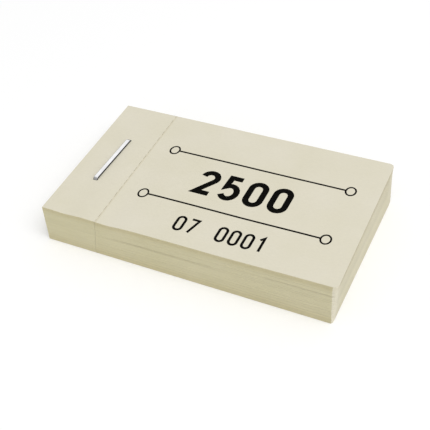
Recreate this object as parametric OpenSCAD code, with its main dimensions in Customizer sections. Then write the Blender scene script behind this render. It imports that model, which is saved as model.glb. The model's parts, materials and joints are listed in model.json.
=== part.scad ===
// A stapled book of tear-off tickets: a loose pad of perforated paper leaves held at one end by a flat-wire staple.
// Length runs along X from the stub end to the free end, width along Y, and the pad lies flat on Z = 0.
// Leaves are counted from the top: leaf 1 is the top one.

/* [Pad] */
// Length of the top leaf, from its stub end to its free end
pad_length = 60; // [40:1:120]
// Width of the pad
pad_width = 35; // [25:1:80]
// Number of leaves
leaf_count = 100; // [40:10:120]
// Thickness of the paper
paper = 0.08; // [0.06:0.01:0.2]
// Air over each leaf at the stub end, where the staple presses the pad together
stub_air = 0.005; // [0.002:0.001:0.02]
// Air over each leaf at the free end, where the leaves spring apart
free_air = 0.0155; // [0.005:0.0005:0.05]
// How much shorter the lowest leaf is than the top one, from a slanting trim of the free end
trim_slant = 0.5; // [0:0.1:1.5]

/* [Perforation] */
// Length of the top stub, from its end to the perforation
stub_length = 11.7; // [9:0.1:20]
// How much shorter the lowest stub is than the top one, because the perforation leans through the pad
perforation_lean = 1.1; // [0:0.1:2]
// Width of the perforation's slits
slit_width = 0.15; // [0.05:0.05:0.5]
// Length of each paper tie between two slits
tie_length = 0.65; // [0.3:0.05:1.2]
// Spacing of the ties
tie_pitch = 2.05; // [1.5:0.05:4]

/* [Staple] */
// Length of the crown, measured over its bends
crown_length = 13.5; // [8:0.1:20]
// Width of the flat wire
wire_width = 0.9; // [0.4:0.1:1.2]
// Thickness of the flat wire
wire_height = 0.4; // [0.3:0.05:0.8]
// Distance from the stub end to the middle of the crown
staple_inset = 5.9; // [3:0.1:8]
// Turn of the staple out of square, in degrees
staple_skew = -1.9; // [-5:0.1:5]
// Distance from the middle of the pad's width to the middle of the crown
staple_offset = 0.1; // [-3:0.1:3]
// Length of each leg's tip, bent flat under the pad
tip_length = 3.5; // [1.5:0.1:3.9]
// Room between the wire and the paper that it pierces
leg_clearance = 0.05; // [0.02:0.01:0.2]

/* [Bundles] */
// Number of top tickets that lift one by one
single_tickets = 30; // [5:1:40]
// Number of leaves in each bundle of stubs, and in each bundle of tickets below the single ones
bundle_size = 10; // [7:1:20]

/* [Hidden] */
paper_colour = "#ded7c3";
wire_colour = "#c9cbcd";
// Extra reach of a cut past the face that it opens
cut_past = 1;

stub_pitch = paper + stub_air;
free_pitch = paper + free_air;
tie_count = floor((pad_width - tie_length) / tie_pitch) + 1;
bundle_starts = [1 : bundle_size : leaf_count];
ticket_bundle_starts = [single_tickets + 1 : bundle_size : leaf_count];

// How many leaves lie under leaf k
function leaves_under(k) = leaf_count - k;
// Slope of leaf k: every leaf lies a little steeper than the one below it
function slope(k) = atan(leaves_under(k) * (free_pitch - stub_pitch) / pad_length);
// How deep leaf k lies in the pad: 0 for the top leaf, 1 for the lowest one
function depth_share(k) = (k - 1) / (leaf_count - 1);
// Length of leaf k, and of its stub
function leaf_length(k) = pad_length - trim_slant * depth_share(k);
function stub_length_of(k) = stub_length - perforation_lean * depth_share(k);
// Height of leaf k's upper face at a distance x from the stub end
function upper_face(k, x) = leaves_under(k) * stub_pitch + x * tan(slope(k)) + paper / cos(slope(k));
// Where the staple's crown sits, level with the highest paper under it
crown_seat = upper_face(1, staple_inset + wire_width);

function last_of(first) = min(first + bundle_size - 1, leaf_count);
function three_digits(k) = str(k < 100 ? "0" : "", k < 10 ? "0" : "", k);
function ticket_name(k) = str("ticket_", three_digits(k));
function bundle_name(kind, first) = str(kind, "_", three_digits(first), "_", three_digits(last_of(first)));

// Puts the origin under the middle of the pad
module on_pad() {
    translate([-pad_length / 2, 0, 0])
        children();
}

// Lays a flat sheet, drawn from the stub end in the XY plane, in the place of leaf k
module in_leaf(k) {
    on_pad()
        translate([0, 0, leaves_under(k) * stub_pitch])
            rotate([0, -slope(k), 0])
                linear_extrude(paper)
                    children();
}

// The row of ties across the perforation, which tear when a ticket is pulled off
module tie_row(k) {
    for (i = [0 : tie_count - 1])
        translate([stub_length_of(k), (i - (tie_count - 1) / 2) * tie_pitch - tie_length / 2])
            square([slit_width, tie_length]);
}

module stub_sheet(k) {
    translate([0, -pad_width / 2])
        square([stub_length_of(k), pad_width]);
}

// A rectangle around the middle of the staple, seen along the wire's width
module centred_rectangle(width, bottom, top) {
    translate([-width / 2, bottom])
        square([width, top - bottom]);
}

// The wire's outline seen along its width: crown, legs and bent tips, with sharp inner and round outer bends
module staple_outline() {
    inner_width = crown_length - 2 * wire_height;
    top = crown_seat + wire_height;
    difference() {
        union() {
            centred_rectangle(inner_width, 0, top);
            centred_rectangle(crown_length, wire_height, crown_seat);
            for (side = [-1, 1], height = [wire_height, crown_seat])
                translate([side * inner_width / 2, height])
                    circle(r = wire_height, $fn = 48);
        }
        centred_rectangle(inner_width, wire_height, crown_seat);
        centred_rectangle(inner_width - 2 * tip_length, -cut_past, wire_height + stub_air);
    }
}

// Stands something drawn along the wire's width in the staple's place, that much wide
module in_staple(width) {
    on_pad()
        translate([staple_inset, staple_offset, 0])
            rotate([90, 0, 90 + staple_skew])
                translate([0, 0, -width / 2])
                    linear_extrude(width)
                        children();
}

// The room that the legs and the bent tips take up in the paper
module staple_room() {
    outer = crown_length + 2 * leg_clearance;
    inner = crown_length - 2 * wire_height - 2 * leg_clearance;
    in_staple(wire_width + 2 * leg_clearance) {
        difference() {
            centred_rectangle(outer, -cut_past, crown_seat + cut_past);
            centred_rectangle(inner, wire_height + leg_clearance, crown_seat + 2 * cut_past);
            centred_rectangle(inner - 2 * tip_length, -2 * cut_past, crown_seat);
        }
    }
}

module staple() {
    color(wire_colour)
        in_staple(wire_width)
            staple_outline();
}

// One stub with its row of ties, pierced by the staple
module stub(k) {
    color(paper_colour)
        difference() {
            in_leaf(k) {
                stub_sheet(k);
                tie_row(k);
            }
            staple_room();
        }
}

module ticket(k) {
    start = stub_length_of(k) + slit_width;
    color(paper_colour)
        in_leaf(k)
            translate([start, -pad_width / 2])
                square([leaf_length(k) - start, pad_width]);
}

module stub_bundle(first) {
    for (k = [first : last_of(first)])
        stub(k);
}

module ticket_bundle(first) {
    for (k = [first : last_of(first)])
        ticket(k);
}

staple();
for (first = bundle_starts)
    stub_bundle(first);
for (k = [1 : single_tickets])
    ticket(k);
for (first = ticket_bundle_starts)
    ticket_bundle(first);
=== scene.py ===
"""Looks of a stapled book of tear-off tickets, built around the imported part's frame, in metres."""
import json
import logging
import math
from dataclasses import dataclass
from enum import Enum
from typing import Iterable, Union

import bmesh
import bpy
import numpy as np
from mathutils import Matrix, Vector

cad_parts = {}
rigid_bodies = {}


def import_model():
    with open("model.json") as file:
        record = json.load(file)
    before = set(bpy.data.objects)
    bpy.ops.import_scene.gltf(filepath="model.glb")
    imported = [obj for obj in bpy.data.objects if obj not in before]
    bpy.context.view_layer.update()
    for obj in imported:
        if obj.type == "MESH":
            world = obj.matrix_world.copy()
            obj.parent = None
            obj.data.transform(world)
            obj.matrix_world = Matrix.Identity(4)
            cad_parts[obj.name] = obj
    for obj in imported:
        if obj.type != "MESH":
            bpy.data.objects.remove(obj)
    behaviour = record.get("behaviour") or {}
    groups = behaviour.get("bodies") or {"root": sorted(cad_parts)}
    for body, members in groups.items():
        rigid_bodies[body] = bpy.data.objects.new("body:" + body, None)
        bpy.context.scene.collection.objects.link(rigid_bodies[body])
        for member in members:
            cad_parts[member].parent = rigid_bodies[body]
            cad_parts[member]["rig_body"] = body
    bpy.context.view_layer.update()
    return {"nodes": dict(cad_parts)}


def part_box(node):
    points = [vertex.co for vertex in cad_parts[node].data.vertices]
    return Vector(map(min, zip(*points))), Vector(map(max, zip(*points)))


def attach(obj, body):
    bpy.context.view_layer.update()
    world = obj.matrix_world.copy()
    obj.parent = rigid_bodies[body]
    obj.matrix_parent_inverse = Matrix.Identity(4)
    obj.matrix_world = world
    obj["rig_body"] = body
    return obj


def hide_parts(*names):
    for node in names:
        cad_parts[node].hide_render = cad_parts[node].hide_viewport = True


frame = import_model()

MILLIMETRE = 0.001
# Angle between two faces above which their edge is shaded sharply.
SHARPEST_SMOOTH = math.radians(40)
# Steps of an arc of the pen, and half of those of a closed ring.
ARC_STEPS = 14
# Places of the Mix node's sockets for colours, whose names other sockets share.
MIX_FACTOR = 0
MIX_FIRST = 6
MIX_SECOND = 7
MIX_RESULT = 2
LOG = logging.getLogger("ticket_book")

Colour = tuple[float, float, float]
Place = tuple[float, float, float]
Direction = tuple[float, float, float]
Density = tuple[float, float, float]
Point = tuple[float, float]
Number = Union[float, np.ndarray, "Signal"]

WHITE: Colour = (1.0, 1.0, 1.0)


class Slot(Enum):
    """Material slots of the record."""

    PAPER = "paper"
    WIRE = "staple_wire"


class Weight(Enum):
    """Weights of the printed numerals."""

    BOLD = "bold"
    THIN = "thin"


class SocketKind(Enum):
    """Kinds of the sockets that the node groups have."""

    GEOMETRY = "NodeSocketGeometry"
    MATERIAL = "NodeSocketMaterial"
    FLOAT = "NodeSocketFloat"
    INTEGER = "NodeSocketInt"
    VECTOR = "NodeSocketVector"


class Blend(Enum):
    """Ways to mix two colours."""

    MIX = "MIX"
    MULTIPLY = "MULTIPLY"


class Draw(Enum):
    """Random draws for the leaves, each with the offset that keeps it apart from the others."""

    END = 7.3
    SIDE = 31.7
    BLADE = 5.0
    ROUGHNESS = 11.0
    TINT = 23.0


class NodeDesk:
    """Lays nodes in one tree and joins them, so that a formula reads as plain arithmetic."""

    def __init__(self, tree: bpy.types.NodeTree) -> None:
        """Takes the tree to work on."""
        self.tree = tree

    def add(self, kind: str, **settings: object) -> bpy.types.Node:
        """Adds a node.

        Args:
            kind: The node's type name.
            settings: The node's own properties.

        Returns:
            The new node.
        """
        node = self.tree.nodes.new(kind)
        for name, value in settings.items():
            setattr(node, name, value)
        return node

    def feed(self, target: bpy.types.NodeSocket, value: object) -> None:
        """Joins a socket or a signal to an input, or sets a constant on it.

        Args:
            target: The input socket.
            value: A socket, a signal or a constant.
        """
        source = value.socket if isinstance(value, Signal) else value
        if isinstance(source, bpy.types.NodeSocket):
            self.tree.links.new(source, target)
        else:
            target.default_value = source

    def place(self, kind: str, inputs: dict[str, object], **settings: object) -> bpy.types.Node:
        """Adds a node and feeds its inputs.

        Args:
            kind: The node's type name.
            inputs: What goes into each input, by the input's name.
            settings: The node's own properties.

        Returns:
            The new node.
        """
        node = self.add(kind, **settings)
        for name, value in inputs.items():
            self.feed(node.inputs[name], value)
        return node

    def maths(self, operation: str, *values: object) -> "Signal":
        """Adds a Math node.

        Args:
            operation: The node's operation.
            values: Signals or constants for its inputs, in order.

        Returns:
            The node's result.
        """
        node = self.add("ShaderNodeMath", operation=operation)
        for socket, value in zip(node.inputs, values):
            self.feed(socket, value)
        return Signal(self, node.outputs[0])

    def signal(self, socket: bpy.types.NodeSocket) -> "Signal":
        """Wraps an output socket as a number to reckon with."""
        return Signal(self, socket)

    def attribute(self, name: str) -> "Signal":
        """A number that a mesh holds under a name, in a material."""
        return Signal(self, self.add("ShaderNodeAttribute", attribute_name=name).outputs["Fac"])

    def open_input(self, name: str, kind: SocketKind) -> str:
        """Opens a named input of the tree and gives its identifier."""
        return self.tree.interface.new_socket(name, in_out="INPUT", socket_type=kind.value).identifier

    def open_output(self, name: str, kind: SocketKind) -> None:
        """Opens a named output of the tree."""
        self.tree.interface.new_socket(name, in_out="OUTPUT", socket_type=kind.value)

    def end(self, result: bpy.types.NodeSocket) -> None:
        """Ends the tree with its result."""
        self.feed(self.add("NodeGroupOutput").inputs[0], result)

    def end_dressed(self, geometry: bpy.types.NodeSocket, material: bpy.types.NodeSocket) -> None:
        """Ends a geometry tree with real instances that wear a material.

        Args:
            geometry: What the tree has made.
            material: The material for all of it.
        """
        real = self.place("GeometryNodeRealizeInstances", {"Geometry": geometry}).outputs[0]
        dressed = self.place("GeometryNodeSetMaterial", {"Geometry": real, "Material": material})
        self.end(dressed.outputs[0])


@dataclass(frozen=True)
class Signal:
    """A number that flows through a node tree.

    Attributes:
        desk: The desk of the tree that it flows through.
        socket: The output socket that gives it.
    """

    desk: NodeDesk
    socket: bpy.types.NodeSocket

    def __add__(self, other: object) -> "Signal":
        """Sum of two numbers."""
        return self.desk.maths("ADD", self, other)

    def __sub__(self, other: object) -> "Signal":
        """Difference of two numbers."""
        return self.desk.maths("SUBTRACT", self, other)

    def __rsub__(self, other: object) -> "Signal":
        """Difference of a constant and a number."""
        return self.desk.maths("SUBTRACT", other, self)

    def __mul__(self, other: object) -> "Signal":
        """Product of two numbers."""
        return self.desk.maths("MULTIPLY", self, other)

    def __truediv__(self, other: object) -> "Signal":
        """Quotient of two numbers."""
        return self.desk.maths("DIVIDE", self, other)


def bell(value: Number) -> Number:
    """A smooth bump that is 1 at zero and fades to nothing beyond about 2.

    Args:
        value: A number, an array or a signal.

    Returns:
        The bump's height, of the same kind.
    """
    squared = value * value
    if isinstance(value, Signal):
        return value.desk.maths("EXPONENT", squared * -1.0)
    return np.exp(-squared)


def limited(value: Number) -> Number:
    """Holds a number between 0 and 1.

    Args:
        value: A number, an array or a signal.

    Returns:
        The number held in that range, of the same kind.
    """
    if isinstance(value, Signal):
        return value.desk.maths("MINIMUM", value.desk.maths("MAXIMUM", value, 0.0), 1.0)
    return np.clip(value, 0.0, 1.0)


def leaves_of(node: str) -> list[int]:
    """Leaves in a node of the frame, counted from the top of the pad.

    Args:
        node: The node's name, which ends in its first and last leaf, or in its only one.

    Returns:
        The leaves' numbers.
    """
    numbers = [int(word) for word in node.split("_")[1:]]
    return list(range(numbers[0], numbers[-1] + 1))


@dataclass(frozen=True)
class Dent:
    """A shallow trough across the pad, which fades out towards the back.

    The staple or the perforating blades pressed it in, or the loose tickets sag there.

    Attributes:
        at: Distance of its middle from the stub end.
        reach: Distance in which it fades out along the pad.
        depth: Depth at the top of the pad, at its front edge.
    """

    at: float
    reach: float
    depth: float


@dataclass(frozen=True)
class Opening:
    """A stretch where a few neighbouring leaves stand further apart than the rest.

    Attributes:
        under: How many leaves lie under its lowest gap.
        gaps: Number of gaps that share it.
        at: Distance of its middle from the stub end.
        reach: Half of its length.
        lift: How far the leaves above it are lifted.
        press: How far the leaves below it are pressed down.
    """

    under: int
    gaps: int
    at: float
    reach: float
    lift: float
    press: float


@dataclass(frozen=True)
class PadShape:
    """Where the leaves lie. Leaves are named by how many others lie under them.

    Attributes:
        stub_end: X of the stubs' outer end.
        length: Length of the top leaf.
        width: Width of the pad.
        paper: Thickness of the paper.
        stub_pitch: Rise from leaf to leaf at the stub end.
        free_pitch: Rise from leaf to leaf at the free end.
        ticket_start: Distance from the stub end to the top ticket's torn edge in the frame.
        lean: How much nearer the lowest ticket's torn edge lies to the stub end.
        leaf_count: Number of leaves.
        dents: Troughs across the pad.
        openings: Stretches of extra air between a few leaves.
    """

    stub_end: float
    length: float
    width: float
    paper: float
    stub_pitch: float
    free_pitch: float
    ticket_start: float
    lean: float
    leaf_count: int
    dents: tuple[Dent, ...] = (
        Dent(at=5 * MILLIMETRE, reach=2.4 * MILLIMETRE, depth=0.18 * MILLIMETRE),
        Dent(at=14.2 * MILLIMETRE, reach=3 * MILLIMETRE, depth=0.26 * MILLIMETRE),
        Dent(at=38.5 * MILLIMETRE, reach=8 * MILLIMETRE, depth=0.13 * MILLIMETRE),
    )
    openings: tuple[Opening, ...] = (
        Opening(
            under=59,
            gaps=2,
            at=26 * MILLIMETRE,
            reach=12 * MILLIMETRE,
            lift=0.08 * MILLIMETRE,
            press=0.08 * MILLIMETRE,
        ),
        Opening(
            under=73,
            gaps=3,
            at=56 * MILLIMETRE,
            reach=10 * MILLIMETRE,
            lift=0.04 * MILLIMETRE,
            press=0.045 * MILLIMETRE,
        ),
    )

    @classmethod
    def from_frame(cls) -> "PadShape":
        """Reads the pad's sizes from the frame's nodes.

        Returns:
            The pad's shape.
        """
        stubs = sorted(name for name in frame["nodes"] if name.startswith("stubs_"))
        bundles = sorted(name for name in frame["nodes"] if name.startswith("tickets_"))
        count = leaves_of(stubs[-1])[-1]
        top_low, top_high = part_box("ticket_001")
        base_low, base_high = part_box(bundles[-1])
        stub_low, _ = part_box(stubs[0])
        base_leaves = len(leaves_of(bundles[-1]))
        free_pitch = (top_high.z - base_high.z) / (count - base_leaves)
        stub_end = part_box(stubs[-1])[0].x
        return cls(
            stub_end=stub_end,
            length=top_high.x - stub_end,
            width=base_high.y - base_low.y,
            paper=base_high.z - (base_leaves - 1) * free_pitch,
            stub_pitch=stub_low.z / (count - leaves_of(stubs[0])[-1]),
            free_pitch=free_pitch,
            ticket_start=top_low.x - stub_end,
            lean=top_low.x - base_low.x,
            leaf_count=count,
        )

    @property
    def top_under(self) -> int:
        """How many leaves lie under the top one."""
        return self.leaf_count - 1

    def under_face(self, under: Number, along: Number, across: Number) -> Number:
        """Height of a leaf's lower face.

        Args:
            under: How many leaves lie under it.
            along: Distance from the stub end.
            across: Distance from the middle line.

        Returns:
            The height, of the same kind as the three numbers.
        """
        pitch = along * ((self.free_pitch - self.stub_pitch) / self.length) + self.stub_pitch
        nearness_to_front = 0.5 - across * (1.0 / self.width)
        for dent in self.dents:
            trough = bell((along - dent.at) / dent.reach) * nearness_to_front
            pitch = pitch - trough * (dent.depth / self.top_under)
        height = under * pitch
        for gap in self.openings:
            place = (along - gap.at) / gap.reach
            is_above = limited((under - (gap.under - 1.0)) * (1.0 / gap.gaps))
            lifted = (self.top_under - under) * (gap.lift / (self.top_under - gap.under))
            pressed = under * (gap.press / gap.under)
            height = height + bell(place * place) * (is_above * (lifted + pressed) - pressed)
        return height

    def upper_face(self, under: Number, along: Number, across: Number) -> Number:
        """Height of a leaf's upper face, with the same arguments as under_face."""
        return self.under_face(under, along, across) + self.paper


@dataclass(frozen=True)
class Perforation:
    """The row of slits between a stub and its ticket.

    Attributes:
        slit: Width of the slits, pressed almost shut.
        tie_length: Length of each paper tie between two slits.
        tie_pitch: Spacing of the ties.
        tie_count: Number of ties across the pad.
    """

    slit: float = 0.06 * MILLIMETRE
    tie_length: float = 0.65 * MILLIMETRE
    tie_pitch: float = 2.05 * MILLIMETRE
    tie_count: int = 17


@dataclass(frozen=True)
class Trim:
    """How far the cut edges of the leaves stray from the straight block.

    Attributes:
        slant: How much shorter the lowest leaf is than the top one.
        skew: How much longer the top leaf's front edge is than its back edge.
        end_stray: Largest shift of a leaf's free edge.
        side_stray: Largest shift of a leaf's free end to one side.
        roughness: Largest shift of a single leaf's long edges.
        perforation_stray: Largest shift of a leaf's perforation.
        perforation_reach: Distance in which that shift fades out.
        overhang: How far the free ends of the top leaves stand out over the rest.
        overhang_share: Share of the pad, from the top, that stands out.
        corner: Radius of the top leaf's worn corners.
        low_corner_share: How far the lowest leaf's corners are worn, as a share of the top leaf's.
        clump: How fast the shifts change from leaf to leaf.
    """

    slant: float = 0.26 * MILLIMETRE
    skew: float = 0.55 * MILLIMETRE
    end_stray: float = 0.06 * MILLIMETRE
    side_stray: float = 0.06 * MILLIMETRE
    roughness: float = 0.02 * MILLIMETRE
    perforation_stray: float = 0.04 * MILLIMETRE
    perforation_reach: float = 4 * MILLIMETRE
    overhang: float = 0.12 * MILLIMETRE
    overhang_share: float = 0.12
    corner: float = 0.85 * MILLIMETRE
    low_corner_share: float = 0.35
    clump: float = 0.16


@dataclass(frozen=True)
class Wear:
    """How age and handling have tinted and rubbed the paper, and where light and shade are painted on it.

    Attributes:
        end_ageing: How aged the leaves' ends are, as a share of the long edges.
        end_tint: How far the top leaf's ends are tinted and darkened by painted shade that grows with the
            level, as a share of the long edges.
        band_tint: How far the ends are painted paler and darker in bands, as painted shade.
        pale_band: Level of the middle of a pale band, as a share of the pad.
        band_spacing: Distance from one pale band to the next, as a share of the pad.
        rubbed_reach: Distance from the long edges in which the ends are rubbed, less yellow and painted paler
            as a highlight.
        rubbed_tint: How much paler the painted highlight makes the ends where they are rubbed most.
        end_soil: How strongly painted shade darkens the ends, as a share of the long edges.
        top_share: Share of the pad, from the top, whose edges are darkened by painted shade.
        base_share: Share of the pad, from the base, whose long edges are darkened by painted shade.
        rim: Width of the rims of the faces inside the pad that painted shade darkens.
        burr_reach: Distance from the perforation in which painted shade darkens every face.
        burr_soil: How dark that painted shade is, as a share of the rims.
    """

    end_ageing: float = 0.42
    # Painted shade on the ends that grows with the level.
    end_tint: float = 1.7
    # Painted shade in bands across the ends.
    band_tint: float = 0.28
    pale_band: float = 0.33
    band_spacing: float = 0.38
    rubbed_reach: float = 3.2 * MILLIMETRE
    # Painted highlight where the ends are rubbed.
    rubbed_tint: float = 1.1
    # Painted shade at the pad's top and base, on the inner rims and along the perforation.
    end_soil: float = 1.8
    top_share: float = 0.12
    base_share: float = 0.16
    rim: float = 0.3 * MILLIMETRE
    burr_reach: float = 0.24 * MILLIMETRE
    burr_soil: float = 0.65


@dataclass(frozen=True)
class SheetGrid:
    """How finely a sheet of paper is divided.

    Attributes:
        columns: Points along the sheet.
        rows: Points across the sheet.
        crowding: 1 for even columns, more to crowd them at the sheet's start.
    """

    columns: int
    rows: int
    crowding: float = 1.0


class LeafTree:
    """Geometry Nodes tree that lays one sheet of paper for each point of a carrier mesh.

    The carrier's points hold how many leaves lie under each leaf, as an attribute.
    """

    NAME = "paper_leaves"
    UNDER = "leaves_under"
    CUT_EDGE = "cut_edge"
    # Random tint of each leaf, with painted shade and a painted highlight on the ends.
    TINT = "leaf_tint"
    # Where painted shade darkens the paper.
    SOIL = "soiled_rim"
    SIZES: tuple[str, ...] = ("Start", "End", "Width", "Paper", "Perforation")
    COUNTS: tuple[str, ...] = ("Columns", "Rows", "Seed")
    DRIFT_DETAIL = 2.0
    # Place of the Random Value node's output for plain numbers.
    RANDOM_NUMBER = 1
    # Least part of a normal along an axis, for a face that looks that way.
    FACING = 0.5
    # Ageing above which a face is on a long edge, and below which it is on no cut edge.
    SIDE_AGEING = 0.9
    LEAST_AGEING = 0.001
    # Level that only the top leaf reaches, as a share of the pad.
    TOP_LEVEL = 0.999

    def __init__(self, shape: PadShape, trim: Trim, wear: Wear) -> None:
        """Builds the tree.

        Args:
            shape: Where the leaves lie.
            trim: How far their edges stray.
            wear: How worn they are.
        """
        self.shape = shape
        self.trim = trim
        self.wear = wear
        self.tree = bpy.data.node_groups.new(self.NAME, "GeometryNodeTree")
        self.desk = NodeDesk(self.tree)
        self.sockets = self._make_interface()
        self.inputs = self.desk.add("NodeGroupInput").outputs
        flat_leaf = self._mark_edges(self._flat_leaf())
        leaves = self._lay_in_pad(self._spread_over_points(flat_leaf))
        self.desk.end_dressed(leaves, self.inputs["Material"])

    def _flat_leaf(self) -> bpy.types.NodeSocket:
        """Draws one flat leaf from the stub end."""
        raise NotImplementedError

    def _make_interface(self) -> dict[str, str]:
        """Makes the tree's named inputs and its output.

        Returns:
            The identifier of each input, by its name.
        """
        desk = self.desk
        desk.open_input("Carrier", SocketKind.GEOMETRY)
        found = {name: desk.open_input(name, SocketKind.FLOAT) for name in self.SIZES}
        found |= {name: desk.open_input(name, SocketKind.INTEGER) for name in self.COUNTS}
        found["Material"] = desk.open_input("Material", SocketKind.MATERIAL)
        desk.open_output("Leaves", SocketKind.GEOMETRY)
        return found

    def _value(self, name: str) -> Signal:
        """One of the tree's named inputs, as a number."""
        return self.desk.signal(self.inputs[name])

    def _position(self) -> tuple[Signal, Signal, Signal]:
        """The three coordinates of each point."""
        return self._parts(self.desk.add("GeometryNodeInputPosition").outputs[0])

    def _parts(self, vector: bpy.types.NodeSocket) -> tuple[Signal, Signal, Signal]:
        """The three numbers of a vector."""
        split = self.desk.place("ShaderNodeSeparateXYZ", {"Vector": vector})
        return tuple(self.desk.signal(socket) for socket in split.outputs)

    def _normal(self) -> tuple[Signal, Signal, Signal]:
        """The three parts of each face's normal."""
        return self._parts(self.desk.add("GeometryNodeInputNormal").outputs[0])

    def _stored(self, name: str) -> Signal:
        """A number that the leaves hold under a name."""
        node = self.desk.place("GeometryNodeInputNamedAttribute", {"Name": name}, data_type="FLOAT")
        return self.desk.signal(node.outputs[0])

    def _store(self, leaves: bpy.types.NodeSocket, name: str, value: Signal) -> bpy.types.NodeSocket:
        """Lets each face of the leaves hold a number.

        Args:
            leaves: The leaves.
            name: The name that they hold it under.
            value: The number.

        Returns:
            The leaves that hold it.
        """
        inputs = {"Geometry": leaves, "Name": name, "Value": value}
        node = self.desk.place("GeometryNodeStoreNamedAttribute", inputs, data_type="FLOAT", domain="FACE")
        return node.outputs[0]

    def _moved(self, geometry: bpy.types.NodeSocket, x: Signal, y: Signal, z: Signal) -> bpy.types.NodeSocket:
        """Puts each point of a geometry at new coordinates.

        Args:
            geometry: The geometry.
            x: The points' new X.
            y: Their new Y.
            z: Their new Z.

        Returns:
            The moved geometry.
        """
        place = self.desk.place("ShaderNodeCombineXYZ", {"X": x, "Y": y, "Z": z}).outputs[0]
        inputs = {"Geometry": geometry, "Position": place}
        return self.desk.place("GeometryNodeSetPosition", inputs).outputs[0]

    def _unit_block(self) -> bpy.types.NodeSocket:
        """A unit block around the origin, divided in the tree's columns and rows.

        Returns:
            The block's geometry.
        """
        return self.desk.place("GeometryNodeMeshCube", {
            "Size": (1.0, 1.0, 1.0),
            "Vertices X": self._value("Columns"),
            "Vertices Y": self._value("Rows"),
            "Vertices Z": 2,
        }).outputs["Mesh"]

    def _mark_edges(self, leaf: bpy.types.NodeSocket) -> bpy.types.NodeSocket:
        """Marks how aged the cut edges are, and smooths the faces.

        The long edges are aged most, and the ends least where they are rubbed, which is also part of a
        painted highlight.

        Args:
            leaf: The flat leaf.

        Returns:
            The marked leaf.
        """
        on_end, on_side, flatness = (self.desk.maths("ABSOLUTE", part) for part in self._normal())
        # Near the long edges the ends are rubbed and less yellow, part of a painted highlight on the corners.
        rubbed_and_lit = self._nearness_to_side(self._position()[1], self.wear.rubbed_reach)
        ageing = on_side + on_end * (1.0 - rubbed_and_lit) * self.wear.end_ageing
        inputs = {
            "Geometry": self._store(leaf, self.CUT_EDGE, ageing),
            "Selection": self.desk.maths("GREATER_THAN", flatness, self.FACING),
        }
        return self.desk.place("GeometryNodeSetShadeSmooth", inputs).outputs[0]

    def _spread_over_points(self, leaf: bpy.types.NodeSocket) -> bpy.types.NodeSocket:
        """Puts one copy of the leaf on each point of the carrier.

        Args:
            leaf: The flat leaf.

        Returns:
            The copies, which hold the points' attribute.
        """
        inputs = {"Points": self.inputs["Carrier"], "Instance": leaf}
        copies = self.desk.place("GeometryNodeInstanceOnPoints", inputs).outputs[0]
        return self.desk.place("GeometryNodeRealizeInstances", {"Geometry": copies}).outputs[0]

    def _drift(self, under: Signal, draw: Draw) -> Signal:
        """A shift between -1 and 1 that changes slowly from leaf to leaf.

        Args:
            under: How many leaves lie under the leaf.
            draw: What the shift is for.

        Returns:
            The shift.
        """
        place = under * self.trim.clump + self._value("Seed") + draw.value
        inputs = {"W": place, "Scale": 1.0, "Detail": self.DRIFT_DETAIL}
        noise = self.desk.place("ShaderNodeTexNoise", inputs, noise_dimensions="1D")
        return limited(self.desk.signal(noise.outputs[0])) * 2.0 - 1.0

    def _chance(self, under: Signal, draw: Draw) -> Signal:
        """A number between 0 and 1 that differs for each leaf.

        Args:
            under: How many leaves lie under the leaf.
            draw: What the number is for.

        Returns:
            The number.
        """
        inputs = {"ID": under, "Seed": self._value("Seed") + draw.value}
        node = self.desk.place("FunctionNodeRandomValue", inputs, data_type="FLOAT")
        return self.desk.signal(node.outputs[self.RANDOM_NUMBER])

    def _lay_in_pad(self, leaves: bpy.types.NodeSocket) -> bpy.types.NodeSocket:
        """Moves the points of the flat leaves to their places in the pad.

        Args:
            leaves: The flat leaves.

        Returns:
            The leaves in their places.
        """
        shape, trim = self.shape, self.trim
        under = self._stored(self.UNDER)
        along, across, rise = self._position()
        perforation = self._value("Perforation")
        level = under * (1.0 / shape.top_under)
        end_share = limited((along - perforation) / (shape.length - perforation))
        end_shift = self._drift(under, Draw.END) * trim.end_stray - (1.0 - level) * trim.slant
        set_back = limited((1.0 - level) * (1.0 / trim.overhang_share))
        end_shift = end_shift - across * level * (trim.skew / shape.width) - set_back * trim.overhang
        blade_stray = (self._chance(under, Draw.BLADE) * 2.0 - 1.0) * trim.perforation_stray
        blade_shift = blade_stray - (1.0 - level) * shape.lean
        shifted = along + end_share * end_shift
        shifted = shifted + bell((along - perforation) / trim.perforation_reach) * blade_shift
        worn = level * (1.0 - trim.low_corner_share) + trim.low_corner_share
        shifted = shifted - self._corner_cut(along, across) * worn
        side_shift = self._drift(under, Draw.SIDE) * trim.side_stray * (along / shape.length)
        rough_shift = (self._chance(under, Draw.ROUGHNESS) - 0.5) * (2.0 * trim.roughness)
        return self._moved(
            self._mark_leaves(leaves, under, level, along, across),
            shifted + shape.stub_end,
            across + side_shift + rough_shift,
            rise + shape.under_face(under, shifted, across),
        )

    def _mark_leaves(
        self, leaves: bpy.types.NodeSocket, under: Signal, level: Signal, along: Signal, across: Signal
    ) -> bpy.types.NodeSocket:
        """Gives each leaf's cut edges a tint of their own, and marks where light and shade are painted.

        The ends get a tint that grows with their level, and bands, both painted shade, and a painted
        highlight where they are rubbed. Painted shade darkens the edges at the pad's top, the long edges at
        its base, the rims of the faces inside the pad and, in part, a strip along the perforation on every
        face.

        Args:
            leaves: The flat leaves.
            under: How many leaves lie under the leaf.
            level: The same as a share of the pad.
            along: Distance from the stub end.
            across: Distance from the middle line.

        Returns:
            The marked leaves.
        """
        desk, wear = self.desk, self.wear
        cut = self._stored(self.CUT_EDGE)
        is_face = desk.maths("LESS_THAN", cut, self.LEAST_AGEING)
        is_side = desk.maths("GREATER_THAN", cut, self.SIDE_AGEING)
        end_share = (1.0 - is_side) * cut * (1.0 / wear.end_ageing)
        # Painted highlight where the ends are rubbed near the corners.
        rubbed_and_lit = (1.0 - is_face - is_side) * (1.0 - end_share)
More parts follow.
